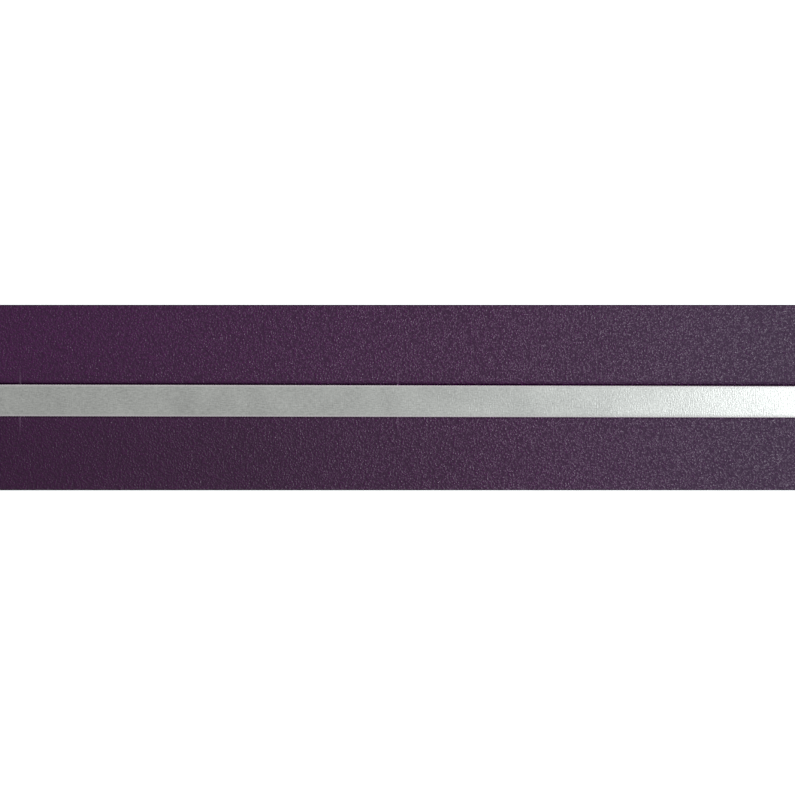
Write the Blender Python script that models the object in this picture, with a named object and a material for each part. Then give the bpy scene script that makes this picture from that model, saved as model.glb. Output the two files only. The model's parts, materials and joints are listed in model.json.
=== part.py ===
"""Rhythmic ribbon wand, laid out on a flat surface.

Frame: metres, +Z up, the surface is z = 0.  The ribbon lies along X with the
middle of its flat stretch at the origin.  Its unused length is rolled up at -X.
Its reinforced end, at +X, is clipped to a snap hook, a barrel swivel, a link
ring and the turning eye of the stick.  The stick lies back beside the ribbon.
"""
import math

import bmesh
import bpy
import numpy as np
from mathutils import Matrix, Vector

# ribbon
RIBBON_W = 0.0400          # width of the purple ribbon
RIBBON_T = 0.00035         # its thickness
STRIPE_W = 0.0069          # silver ribbon along the middle
STRIPE_T = 0.00020
STRIPE_Y = -0.0008         # the silver ribbon sits a little off the centre line
PLY_GAP = 0.00005          # air between two plies
LIE_X = -0.1010            # the flat stretch starts here, at the foot of the roll
DOUBLE_X = 0.1090          # the doubled end starts here
RISE_1 = (0.0980, 0.1080, 0.00042)   # the ribbon climbs on to its doubled ply
RISE_2 = (0.1250, 0.1650, 0.00258)   # and is lifted by the hook at the eyelet
TAPER = (0.1500, 0.1720)   # the corners are folded in between these two places
TONGUE_R = 0.0043          # round end of the tongue, about the eyelet
PATCH_X = 0.1655           # reinforcing patches start here
PATCH_T = 0.00022
THREAD_R = 0.00015
THREAD_LIFT = 0.0002       # middle of a thread above the cloth
SEAM_IN = 0.0016           # edge stitches, in from the ribbon's edge
TACK_X = 0.1725            # zigzag tack behind the eyelet
TACK_PITCH = 0.0009
TACK_HALF = 0.0032
FIT = 0.00005              # clearance of a piece in its bore, on the radius
# roll of unused ribbon
ROLL_R = 0.0304            # wound turns, without the outermost one
CORE_R = 0.0080
LEAD_R = 0.0160            # bend where the ribbon comes down to the surface
TURN_END = math.radians(300.0)   # the outermost turn runs on to here, under the roll
HEM_R = 0.0073             # the inner end's folded hem, inside the core
HEM_T = 0.0006
# tie round the roll
TIE_W = 0.0080
TIE_T = 0.0009
TIE_CORNER = 0.0016
# eyelet
EYE_X = 0.1850
EYE_BORE_R = 0.0022
EYE_BARREL_R = 0.00255
EYE_FLANGE_R = 0.0040
EYE_WASHER_R = 0.0036
# line of the clip, swivel and stick
AXIS_Z = 0.0050
SNAP_HEADING = math.radians(60.0)
SWIVEL_HEADING = math.radians(100.0)
STICK_HEADING = math.radians(150.0)
# snap hook, along its own heading from the eyelet
HOOK_R = 0.0040
HOOK_WIRE = 0.00075
HOOK_NEAR = 0.00289
HOOK_FAR = 0.00889
REAR_R = 0.0025
REAR_WIRE = 0.0006
GATE_S = 0.0092            # gate pivot
GATE_NOSE = 0.00245
GATE_HUB_R = 0.00095
NOSE_TURN = 105            # the wire's free end, in degrees round the near bend
BRIDGE_TURN = 62           # and its end at the gate's fork, round the far bend
BRIDGE_Y = 0.00131         # half width of the block that carries the fork
CHEEKS = (0.00085, 0.00125)   # inside and outside of the fork's cheeks
PIN_R = 0.00035
PIN_HEAD_R = 0.0006
PIN_HALF = 0.00155
COIL_R = 0.00066           # gate spring
COIL_WIRE = 0.0001
COIL_TURN = 600
# barrel swivel
EYE_R = 0.0023
EYE_WIRE = 0.0005
LINK_GAP = 0.00015
BARREL_L = 0.0090
BARREL_R = 0.0025
BARREL_MOUTH = 0.0008
BARREL_BORE = 0.0018
BARREL_WALL = 0.0011
HEAD_INSET = 0.0015        # heads of the wire eyes, in from the barrel's ends
# link ring
RING_R = 0.0034
RING_WIRE = 0.00055
# stick
STICK_L = 0.5600
SHAFT_TIP_R = 0.0025
SHAFT_BUTT_R = 0.0041
FERRULE_L = 0.0220
FERRULE_R = 0.0035
FERRULE_MOUTH = 0.0010
FERRULE_CUP = 0.0021       # room for the turning eye's head
CROSS_S = 0.0120           # cross pin
CROSS_R = 0.0006
CROSS_BORE = 0.00064
GRIP_START = 0.4622
GRIP_END = 0.5550
GRIP_R = 0.0050
GRIP_BANDS = 9
GROOVE = 0.00035
COLLAR_R = 0.0048
COLLAR_START = 0.4520

REAR_S = HOOK_FAR + HOOK_R + REAR_R
LINK_S = REAR_S + REAR_R                     # wire the swivel pulls on
EYE_S = EYE_R - (REAR_WIRE + EYE_WIRE + LINK_GAP)
BARREL_S = EYE_S + EYE_R + 0.0014 + BARREL_L / 2
EYE_FAR_S = 2 * BARREL_S - EYE_S
RING_S = EYE_R - (EYE_WIRE + RING_WIRE + LINK_GAP) + RING_R
TIP_EYE_S = RING_R - (RING_WIRE + EYE_WIRE + LINK_GAP) + EYE_R
TIP_STEM = 0.0034          # eye centre to the face of the ferrule
SHARP_ANGLE = math.radians(35.0)


def clear_scene():
    for obj in list(bpy.data.objects):
        bpy.data.objects.remove(obj, do_unlink=True)


def paint(name, rgb, rough, metal=0.0):
    mat = bpy.data.materials.get(name)
    if mat is None:
        mat = bpy.data.materials.new(name)
        mat.use_nodes = True
        bsdf = mat.node_tree.nodes["Principled BSDF"]
        bsdf.inputs["Base Color"].default_value = (*rgb, 1.0)
        bsdf.inputs["Roughness"].default_value = rough
        bsdf.inputs["Metallic"].default_value = metal
    return mat


def purple():
    return paint("purple_grained_ribbon", (0.055, 0.022, 0.055), 0.55)


def silver():
    return paint("silver_satin_ribbon", (0.55, 0.56, 0.54), 0.30)


def thread():
    return paint("purple_thread", (0.10, 0.05, 0.11), 0.60)


def patch_cloth():
    return paint("dark_patch_tape", (0.030, 0.016, 0.034), 0.70)


def strap_cloth():
    return paint("dark_tie_strap", (0.018, 0.016, 0.020), 0.80)


def nickel():
    return paint("nickel_plate", (0.78, 0.77, 0.74), 0.18, 1.0)


def steel():
    return paint("spring_steel", (0.55, 0.55, 0.56), 0.30, 1.0)


def aluminium():
    return paint("satin_aluminium", (0.74, 0.75, 0.77), 0.32, 1.0)


def fibreglass():
    return paint("violet_fibreglass", (0.19, 0.11, 0.24), 0.28)


def grip_rubber():
    return paint("purple_grip_rubber", (0.070, 0.028, 0.075), 0.75)


def black_plastic():
    return paint("black_plastic", (0.02, 0.02, 0.022), 0.35)


def soften(mesh):
    mesh.shade_smooth()
    mesh.set_sharp_from_angle(angle=SHARP_ANGLE)


def body(name, verts, faces, mat, parent=None):
    """One closed body, in the parent's own coordinates, facing outwards."""
    bm = bmesh.new()
    made = [bm.verts.new(v) for v in verts]
    for face in faces:
        bm.faces.new([made[i] for i in face])
    bmesh.ops.recalc_face_normals(bm, faces=bm.faces[:])
    mesh = bpy.data.meshes.new(name)
    bm.to_mesh(mesh)
    bm.free()
    mesh.materials.append(mat)
    soften(mesh)
    obj = bpy.data.objects.new(name, mesh)
    bpy.context.scene.collection.objects.link(obj)
    obj.parent = parent
    return obj


def frame(name, place, heading=0.0, parent=None):
    """An empty that carries one moving group; local X runs along the heading."""
    obj = bpy.data.objects.new(name, None)
    bpy.context.scene.collection.objects.link(obj)
    obj.empty_display_size = 0.005
    obj.matrix_world = Matrix.Translation(place) @ Matrix.Rotation(heading, 4, "Z")
    if parent is not None:
        world = obj.matrix_world.copy()
        obj.parent = parent
        bpy.context.view_layer.update()
        obj.matrix_world = world
    bpy.context.view_layer.update()
    return obj


def ring_faces(count, sides, closed):
    faces = []
    for i in range(count if closed else count - 1):
        a, b = i * sides, ((i + 1) % count) * sides
        for j in range(sides):
            k = (j + 1) % sides
            faces.append((a + j, b + j, b + k, a + k))
    if not closed:
        faces.append(tuple(range(sides))[::-1])
        faces.append(tuple((count - 1) * sides + j for j in range(sides)))
    return faces


def tube_shape(points, radius, sides=8, closed=False):
    """Round wire along a line of points."""
    pts = [Vector(p) for p in points]
    count = len(pts)
    tangents = []
    for i in range(count):
        if closed:
            step = pts[(i + 1) % count] - pts[i - 1]
        else:
            step = pts[min(i + 1, count - 1)] - pts[max(i - 1, 0)]
        tangents.append(step.normalized())
    side = tangents[0].orthogonal().normalized()
    verts = []
    for point, tangent in zip(pts, tangents):
        side = (side - tangent * side.dot(tangent)).normalized()
        up = tangent.cross(side)
        for j in range(sides):
            turn = 2 * math.pi * j / sides
            verts.append(point + (side * math.cos(turn) + up * math.sin(turn)) * radius)
    return verts, ring_faces(count, sides, closed)


def circle_points(centre, radius, plane, count=32):
    """A full circle; plane is 'flat' (about Z) or 'upright' (about Y)."""
    pts = []
    for i in range(count):
        turn = 2 * math.pi * i / count
        a, b = radius * math.cos(turn), radius * math.sin(turn)
        off = (a, b, 0.0) if plane == "flat" else (a, 0.0, b)
        pts.append(Vector(centre) + Vector(off))
    return pts


def lathe_shape(profile, sides=32):
    """Turn (x, radius) pairs about the X axis; a closed outline if none is on it."""
    on_axis = profile[0][1] == 0.0
    inner = profile[1:-1] if on_axis else profile
    verts, faces = [], []
    for x, radius in inner:
        for j in range(sides):
            turn = 2 * math.pi * j / sides
            verts.append((x, radius * math.cos(turn), radius * math.sin(turn)))
    rows = len(inner)
    for i in range(rows - 1 if on_axis else rows):
        a, b = i * sides, ((i + 1) % rows) * sides
        for j in range(sides):
            k = (j + 1) % sides
            faces.append((a + j, b + j, b + k, a + k))
    if on_axis:
        faces.append(tuple(range(sides))[::-1])
        faces.append(tuple((rows - 1) * sides + j for j in range(sides)))
    return verts, faces


def box_shape(low, high):
    (x0, y0, z0), (x1, y1, z1) = low, high
    verts = [(x, y, z) for x in (x0, x1) for y in (y0, y1) for z in (z0, z1)]
    faces = [(0, 1, 3, 2), (4, 6, 7, 5), (0, 4, 5, 1), (2, 3, 7, 6), (0, 2, 6, 4), (1, 5, 7, 3)]
    return verts, faces


def strip_shape(path, widths, thick, y_mid=0.0):
    """A ribbon of even thickness: path is (x, z) along its middle surface."""
    pts = np.array(path)
    steps = np.gradient(pts, axis=0)
    steps /= np.linalg.norm(steps, axis=1)[:, None]
    normals = np.stack([-steps[:, 1], steps[:, 0]], axis=1) * thick / 2
    verts = []
    for (x, z), (nx, nz), width in zip(pts, normals, widths):
        for sign, side in ((1, 1), (1, -1), (-1, -1), (-1, 1)):
            verts.append((x + sign * nx, y_mid + side * width / 2, z + sign * nz))
    return verts, ring_faces(len(pts), 4, False)


def combine(target, tool, operation):
    """Apply a boolean with a throw-away tool body."""
    mod = target.modifiers.new("cut", "BOOLEAN")
    mod.operation = operation
    mod.solver = "EXACT"
    mod.object = tool
    bpy.context.view_layer.update()
    graph = bpy.context.evaluated_depsgraph_get()
    mesh = bpy.data.meshes.new_from_object(target.evaluated_get(graph))
    target.modifiers.clear()
    old = target.data
    mat = old.materials[0]
    target.data = mesh
    mesh.materials.clear()
    mesh.materials.append(mat)
    for poly in mesh.polygons:
        poly.material_index = 0
    soften(mesh)
    bpy.data.meshes.remove(old)
    bpy.data.objects.remove(tool, do_unlink=True)


def add(target, shape):
    combine(target, body("tool", *shape, target.data.materials[0], target.parent), "UNION")


def cut(target, shape):
    combine(target, body("tool", *shape, target.data.materials[0], target.parent), "DIFFERENCE")


def peg_shape(centre, radius, half, axis, sides=24):
    """A straight round peg along one of the three axes."""
    verts, faces = lathe_shape([(-half, 0.0), (-half, radius), (half, radius), (half, 0.0)], sides)
    spin = {"X": lambda p: p, "Y": lambda p: (p[1], p[0], p[2]), "Z": lambda p: (p[2], p[1], p[0])}
    return [Vector(spin[axis](v)) + Vector(centre) for v in verts], faces


# ---------------------------------------------------------------- ribbon lines

def ease(x, start, stop):
    t = min(max((x - start) / (stop - start), 0.0), 1.0)
    return t * t * (3 - 2 * t)


def ribbon_height(x):
    """Middle surface of the main ply over the surface, along the flat stretch."""
    z = RIBBON_T / 2
    for start, stop, rise in (RISE_1, RISE_2):
        z += rise * ease(x, start, stop)
    return z


def plan_width(x):
    """Full width of the ribbon seen from above: taper, neck and round tongue."""
    neck = 2 * TONGUE_R
    if x <= TAPER[0]:
        return RIBBON_W
    if x <= TAPER[1]:
        t = (x - TAPER[0]) / (TAPER[1] - TAPER[0])
        return RIBBON_W + (neck - RIBBON_W) * t
    if x <= EYE_X:
        return neck
    return 2 * math.sqrt(max(TONGUE_R ** 2 - (x - EYE_X) ** 2, 1e-7))


def stations(start, stop):
    """Places along the ribbon, closer together on the rises and at the tongue."""
    marks = {start, stop}
    for low, high, count in ((RISE_1[0], RISE_1[1], 8), (RISE_2[0], RISE_2[1], 16),
                             (TAPER[0], TAPER[1], 2)):
        marks.update(np.linspace(low, high, count + 1).tolist())
    for i in range(9):
        marks.add(EYE_X + TONGUE_R * math.sin(math.radians(10 * i)))
    kept = sorted(m for m in marks if start <= m <= stop)
    clean = [kept[0]]
    for mark in kept[1:]:
        if mark - clean[-1] > 0.00015:
            clean.append(mark)
    return clean


def roll_centre():
    """The roll stands on its outermost turn and its stripe."""
    mid = ROLL_R + 0.0001 + RIBBON_T / 2
    z = mid + RIBBON_T / 2 + PLY_GAP + STRIPE_T
    drop = z - RIBBON_T / 2 - LEAD_R
    return LIE_X - math.sqrt((mid + LEAD_R) ** 2 - drop ** 2), z, mid


def lead_path(lift):
    """From the surface up the roll and round its outside, lift = outward offset."""
    cx, cz, mid = roll_centre()
    bend_z = RIBBON_T / 2 + LEAD_R
    touch = math.atan2(bend_z - cz, LIE_X - cx)
    path = []
    start, stop = -math.pi / 2, touch - math.pi
    for i in range(19):
        turn = start + (stop - start) * i / 18
        reach = LEAD_R - lift
        path.append((LIE_X + reach * math.cos(turn), bend_z + reach * math.sin(turn)))
    for i in range(1, 49):
        turn = touch + (TURN_END - touch) * i / 48
        path.append((cx + (mid + lift) * math.cos(turn), cz + (mid + lift) * math.sin(turn)))
    return path


# ---------------------------------------------------------------- ribbon pieces

def eyelet_hole():
    reach = 0.003
    return peg_shape((EYE_X, 0.0, reach), EYE_BARREL_R + FIT, reach, "Z", 32)


def build_ribbon():
    tip = EYE_X + TONGUE_R * math.sin(math.radians(80))
    marks = stations(LIE_X + 0.0001, tip)
    run = body("ribbon_run", *strip_shape([(x, ribbon_height(x)) for x in marks],
                                          [plan_width(x) for x in marks], RIBBON_T), purple())
    lead = lead_path(0.0)
    body("ribbon_lead", *strip_shape(lead, [RIBBON_W] * len(lead), RIBBON_T), purple())
    marks = stations(DOUBLE_X, tip)
    drop = RIBBON_T + PLY_GAP
    doubling = body("ribbon_doubling",
                    *strip_shape([(x, ribbon_height(x) - drop) for x in marks],
                                 [plan_width(x) for x in marks], RIBBON_T), purple())
    for ply in (run, doubling):
        cut(ply, eyelet_hole())
    build_stripe()
    build_roll()


def build_stripe():
    lift = RIBBON_T / 2 + PLY_GAP + STRIPE_T / 2
    marks = stations(LIE_X, PATCH_X - 0.0005)[::-1]
    flat = [(x, ribbon_height(x) + lift) for x in marks]
    path = flat[:-1] + lead_path(lift)
    body("silver_stripe", *strip_shape(path, [STRIPE_W] * len(path), STRIPE_T, STRIPE_Y), silver())


def build_roll():
    cx, cz, mid = roll_centre()
    half, bevel = RIBBON_W / 2, 0.0004
    profile = [(-half, CORE_R + bevel), (-half, ROLL_R - bevel), (-half + bevel, ROLL_R),
               (half - bevel, ROLL_R), (half, ROLL_R - bevel), (half, CORE_R + bevel),
               (half - bevel, CORE_R), (-half + bevel, CORE_R)]
    verts, faces = lathe_shape(profile, 60)
    body("ribbon_roll", [(cx + v[1], v[0], cz + v[2]) for v in verts], faces, purple())
    hem = []
    for i in range(15):
        turn = math.radians(200 + 100 * i / 14)
        hem.append((cx + HEM_R * math.cos(turn), cz + HEM_R * math.sin(turn)))
    body("tail_hem", *strip_shape(hem, [RIBBON_W - 0.001] * len(hem), HEM_T), purple())


def rounded_loop(half_y, low, high, radius, steps=5):
    pts = []
    for cy, cz, start in ((half_y, high, 0), (-half_y, high, 90), (-half_y, low, 180),
                          (half_y, low, 270)):
        sy, sz = math.copysign(radius, cy), (radius if cz == high else -radius)
        for i in range(steps + 1):
            turn = math.radians(start + 90 * i / steps)
            pts.append((cy - sy + radius * math.cos(turn), cz - sz + radius * math.sin(turn)))
    return pts


def build_tie():
    """Strap through the core and round the upper side of the roll."""
    cx, cz, mid = roll_centre()
    half_y = RIBBON_W / 2 + 0.0005
    top = cz + mid + RIBBON_T / 2 + PLY_GAP + STRIPE_T + 0.0002
    low = cz + math.sqrt(CORE_R ** 2 - (TIE_W / 2) ** 2) - 0.0003
    inner = rounded_loop(half_y, low, top, TIE_CORNER)
    outer = rounded_loop(half_y + TIE_T, low - TIE_T, top + TIE_T, TIE_CORNER + TIE_T)
    count = len(inner)
    verts = []
    for (iy, iz), (oy, oz) in zip(inner, outer):
        for x, y, z in ((-1, iy, iz), (1, iy, iz), (1, oy, oz), (-1, oy, oz)):
            verts.append((cx + x * TIE_W / 2, y, z))
    body("tie_strap", verts, ring_faces(count, 4, True), strap_cloth())
    tab_z = top + TIE_T + 0.0001
    body("tie_tab", *box_shape((cx - TIE_W / 2, -0.0150, tab_z),
                               (cx + TIE_W / 2, 0.0120, tab_z + TIE_T)), strap_cloth())


def build_end():
    """Reinforcing patches, eyelet and stitching of the doubled end."""
    tip = EYE_X + TONGUE_R * math.sin(math.radians(75))
    marks = stations(PATCH_X, tip)
    above = RIBBON_T / 2 + PLY_GAP + PATCH_T / 2
    below = above + RIBBON_T + PLY_GAP
    patches = []
    for name, lift in (("patch_top", above), ("patch_bottom", -below)):
        line = [(x, ribbon_height(x) + lift) for x in marks]
        widths = [plan_width(x) - 0.0003 for x in marks]
        patches.append(body(name, *strip_shape(line, widths, PATCH_T), patch_cloth()))
    for patch in patches:
        cut(patch, eyelet_hole())
    build_eyelet(ribbon_height(EYE_X) + above + PATCH_T / 2,
                 ribbon_height(EYE_X) - below - PATCH_T / 2)
    build_stitches()


def build_eyelet(top, low):
    washer_t, flange_t, gap = 0.00035, 0.00045, 0.00004
    face = top + gap
    back = low - gap
    centre = Vector((EYE_X, 0.0, 0.0))
    front = [(back - washer_t, EYE_BORE_R), (back - washer_t, EYE_BARREL_R),
             (face, EYE_BARREL_R), (face, EYE_FLANGE_R), (face + flange_t * 0.5, EYE_FLANGE_R),
             (face + flange_t, EYE_FLANGE_R - 0.0005), (face + flange_t, EYE_BORE_R + 0.0003),
             (face + flange_t * 0.6, EYE_BORE_R)]
    washer = [(back - washer_t, EYE_BARREL_R + 0.00006), (back - washer_t, EYE_WASHER_R),
              (back, EYE_WASHER_R), (back, EYE_BARREL_R + 0.00006)]
    for name, profile in (("eyelet_front", front), ("eyelet_washer", washer)):
        verts, faces = lathe_shape(profile, 32)
        body(name, [Vector((v[2], v[1], v[0])) + centre for v in verts], faces, nickel())


def build_stitches():
    lift = RIBBON_T / 2 + THREAD_LIFT
    for name, side in (("edge_stitch_left", 1), ("edge_stitch_right", -1)):
        pts = []
        for x in np.linspace(DOUBLE_X + 0.002, PATCH_X - 0.0015, 30):
            y = side * (plan_width(x) / 2 - SEAM_IN)
            pts.append((x, y, ribbon_height(x) + lift))
        body(name, *tube_shape(pts, THREAD_R, 6), thread())
    z = ribbon_height(TACK_X) + RIBBON_T / 2 + PLY_GAP + PATCH_T + THREAD_LIFT
    pts = [(TACK_X + TACK_PITCH * i, (TACK_HALF if i % 2 else -TACK_HALF), z) for i in range(9)]
    body("bar_tack", *tube_shape(pts, THREAD_R, 6), thread())


# ---------------------------------------------------------------- clip and swivel

def build_snap(hub):
    """Carabiner of round wire standing through the eyelet, with a sprung gate."""
    wire = []
    for i in range(21):
        turn = math.radians(NOSE_TURN + (270 - NOSE_TURN) * i / 20)
        wire.append((HOOK_NEAR + HOOK_R * math.cos(turn), 0.0, HOOK_R * math.sin(turn)))
    for i in range(19):
        turn = math.radians(-90 + (90 + BRIDGE_TURN) * i / 18)
        wire.append((HOOK_FAR + HOOK_R * math.cos(turn), 0.0, HOOK_R * math.sin(turn)))
    hook = body("snap_body", *tube_shape(wire, HOOK_WIRE, 10), nickel(), hub)
    eye = circle_points((REAR_S, 0.0, 0.0), REAR_R, "upright", 24)
    add(hook, tube_shape(eye, REAR_WIRE, 10, True))
    add(hook, box_shape((GATE_S + 0.0011, -BRIDGE_Y, 0.0030), (GATE_S + 0.0021, BRIDGE_Y, 0.0047)))
    for side in (-1, 1):
        low, high = sorted(side * y for y in CHEEKS)
        add(hook, box_shape((GATE_S - 0.0009, low, 0.0032), (GATE_S + 0.0015, high, 0.0046)))
    cut(hook, peg_shape((GATE_S, 0.0, HOOK_R), PIN_R + 0.00004, 0.002, "Y"))
    seat = CHEEKS[1] + FIT
    pin = [(-PIN_HALF, 0.0), (-PIN_HALF, PIN_HEAD_R), (-seat, PIN_HEAD_R), (-seat, PIN_R),
           (seat, PIN_R), (seat, PIN_HEAD_R), (PIN_HALF, PIN_HEAD_R), (PIN_HALF, 0.0)]
    verts, faces = lathe_shape(pin, 20)
    body("snap_pivot_pin", [(GATE_S + v[1], v[0], HOOK_R + v[2]) for v in verts], faces,
         steel(), hub)
    build_gate(hub)


def build_gate(hub):
    pivot = frame("gate_pivot", hub.matrix_world @ Vector((GATE_S, 0.0, HOOK_R)),
                  SNAP_HEADING, hub)
    gate = body("snap_gate", *peg_shape((0.0, -0.0003, 0.0), GATE_HUB_R, 0.0004, "Y", 28),
                nickel(), pivot)
    reach = GATE_NOSE - GATE_S
    rod = [(reach, 0.0), (reach, HOOK_WIRE - 0.0002), (reach + 0.0002, HOOK_WIRE),
           (-0.0013, HOOK_WIRE), (-0.00065, 0.0004), (-0.00065, 0.0)]
    verts, faces = lathe_shape(rod, 20)
    arm_y = -0.00015
    add(gate, ([(v[0], arm_y + v[1], v[2]) for v in verts], faces))
    cut(gate, peg_shape((0.0, 0.0, 0.0), PIN_R + FIT, 0.002, "Y"))
    coil = []
    for i in range(37):
        turn = math.radians(COIL_TURN * i / 36)
        coil.append((GATE_S + COIL_R * math.cos(turn), 0.00027 + 0.00038 * i / 36,
                     HOOK_R + COIL_R * math.sin(turn)))
    body("gate_spring", *tube_shape(coil, COIL_WIRE, 6), steel(), hub)


def wire_eye(name, eye_s, stem_end, head, parent, direction=1):
    """A wire eye with a straight stem and a round head, as one body."""
    ring = circle_points((eye_s, 0.0, 0.0), EYE_R, "flat", 24)
    eye = body(name, *tube_shape(ring, EYE_WIRE, 10, True), nickel(), parent)
    start = eye_s + direction * (EYE_R - 0.0003)
    stem_r, head_r, head_l = head
    profile = [(start, 0.0), (start, stem_r), (stem_end, stem_r), (stem_end, head_r),
               (stem_end + direction * head_l, head_r), (stem_end + direction * head_l, 0.0)]
    add(eye, lathe_shape(profile, 20))
    return eye


def build_swivel(hub):
    half = BARREL_L / 2
    head = (0.0006, 0.0014, 0.0010)
    wire_eye("swivel_eye_snap", EYE_S, BARREL_S - half + HEAD_INSET, head, hub)
    wire_eye("swivel_eye_tip", EYE_FAR_S, BARREL_S + half - HEAD_INSET, head, hub, -1)
    spin = frame("barrel_spin", hub.matrix_world @ Vector((BARREL_S, 0.0, 0.0)),
                 SWIVEL_HEADING, hub)
    room = half - BARREL_WALL
    profile = [(-half, BARREL_MOUTH), (-half, 0.0015), (-half + 0.0012, 0.0022),
               (-half + 0.0024, BARREL_R), (half - 0.0024, BARREL_R), (half - 0.0012, 0.0022),
               (half, 0.0015), (half, BARREL_MOUTH), (room, BARREL_MOUTH), (room, BARREL_BORE),
               (-room, BARREL_BORE), (-room, BARREL_MOUTH)]
    body("swivel_barrel", *lathe_shape(profile, 28), nickel(), spin)


# ---------------------------------------------------------------- stick

def build_tip(lift, stick):
    """Eye that turns in the ferrule, and the ferrule's own parts."""
    wire_eye("tip_eye", TIP_EYE_S, TIP_EYE_S + TIP_STEM + 0.0026, (0.0008, 0.0017, 0.0012), lift)
    ferrule = [(0.0, FERRULE_MOUTH), (0.0, FERRULE_R - 0.0009), (0.0009, FERRULE_R),
               (0.0165, FERRULE_R), (0.0169, FERRULE_R - 0.0003), (0.0176, FERRULE_R - 0.0003),
               (0.0180, FERRULE_R), (FERRULE_L - 0.0006, FERRULE_R),
               (FERRULE_L, FERRULE_R - 0.0003), (FERRULE_L, SHAFT_TIP_R + FIT),
               (0.0046, SHAFT_TIP_R + FIT), (0.0046, FERRULE_CUP), (0.0014, FERRULE_CUP),
               (0.0014, FERRULE_MOUTH)]
    cup = body("tip_ferrule", *lathe_shape(ferrule, 30), aluminium(), stick)
    cut(cup, peg_shape((CROSS_S, 0.0, 0.0), CROSS_BORE, 0.006, "Z"))
    washer = [(0.0016, FERRULE_MOUTH), (0.0016, 0.0019), (0.0022, 0.0019),
              (0.0022, FERRULE_MOUTH)]
    body("tip_thrust_washer", *lathe_shape(washer, 28), steel(), stick)
    body("ferrule_pin", *peg_shape((CROSS_S, 0.0, 0.0), CROSS_R, 0.0034, "Z"), steel(), stick)


def build_shaft(stick):
    profile = [(0.0048, 0.0), (0.0048, SHAFT_TIP_R - 0.0003), (0.0051, SHAFT_TIP_R),
               (FERRULE_L, SHAFT_TIP_R), (COLLAR_START, SHAFT_BUTT_R),
               (STICK_L - 0.0042, SHAFT_BUTT_R), (STICK_L - 0.0040, SHAFT_BUTT_R - 0.0002),
               (STICK_L - 0.0040, 0.0)]
    shaft = body("stick_shaft", *lathe_shape(profile, 32), fibreglass(), stick)
    cut(shaft, peg_shape((CROSS_S, 0.0, 0.0), CROSS_BORE, 0.006, "Z"))


def build_grip(stick):
    bore = SHAFT_BUTT_R + FIT
    collar = [(COLLAR_START + 0.0002, bore), (COLLAR_START + 0.0002, 0.0045),
              (COLLAR_START + 0.0010, COLLAR_R), (GRIP_START - 0.0004, COLLAR_R),
              (GRIP_START - 0.0002, 0.0046), (GRIP_START - 0.0002, bore)]
    body("grip_collar", *lathe_shape(collar, 32), black_plastic(), stick)
    outline = [(GRIP_START, bore), (GRIP_START, GRIP_R - 0.0004)]
    pitch = (GRIP_END - GRIP_START - 0.004) / GRIP_BANDS
    for i in range(GRIP_BANDS):
        x = GRIP_START + 0.002 + pitch * i
        outline += [(x, GRIP_R), (x + pitch - 0.0020, GRIP_R),
                    (x + pitch - 0.0016, GRIP_R - GROOVE), (x + pitch - 0.0004, GRIP_R - GROOVE)]
    outline += [(GRIP_END - 0.0020, GRIP_R), (GRIP_END - 0.0003, GRIP_R - 0.0003),
                (GRIP_END, GRIP_R - 0.0005), (GRIP_END, bore)]
    body("grip_sleeve", *lathe_shape(outline, 28), grip_rubber(), stick)
    cap = [(GRIP_END + 0.0002, bore), (GRIP_END + 0.0002, GRIP_R - 0.0003),
           (GRIP_END + 0.0006, GRIP_R), (STICK_L - 0.0010, GRIP_R), (STICK_L, GRIP_R - 0.0010),
           (STICK_L, 0.0)]
    cap = [(STICK_L - 0.0038, 0.0), (STICK_L - 0.0038, bore)] + cap
    body("grip_end_cap", *lathe_shape(cap, 32), black_plastic(), stick)


def along(start, reach, heading):
    return Vector(start) + Vector((math.cos(heading), math.sin(heading), 0.0)) * reach


def build_line():
    """Snap, swivel, ring and stick, each carried by the one before it."""
    eyelet = Vector((EYE_X, 0.0, AXIS_Z))
    snap = frame("snap_swing", eyelet, SNAP_HEADING)
    build_snap(snap)
    link = along(eyelet, LINK_S, SNAP_HEADING)
    swivel = frame("swivel_swing", link, SWIVEL_HEADING, snap)
    build_swivel(swivel)
    far_eye = along(link, EYE_FAR_S, SWIVEL_HEADING)
    ring = frame("ring_swing", far_eye, STICK_HEADING, swivel)
    wire = circle_points((RING_S, 0.0, 0.0), RING_R, "upright", 28)
    body("link_ring", *tube_shape(wire, RING_WIRE, 10, True), steel(), ring)
    centre = along(far_eye, RING_S, STICK_HEADING)
    lift = frame("stick_lift", centre, STICK_HEADING, ring)
    stick = frame("stick_spin", along(centre, TIP_EYE_S + TIP_STEM, STICK_HEADING),
                  STICK_HEADING, lift)
    build_tip(lift, stick)
    build_shaft(stick)
    build_grip(stick)


clear_scene()
build_ribbon()
build_tie()
build_end()
build_line()
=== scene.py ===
"""Looks for the rhythmic ribbon wand: ribbon, silver stripe, fittings, stick, floor, light and camera."""

import json
import math

import bmesh
import bpy
import numpy as np
from mathutils import Matrix, Vector


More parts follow.
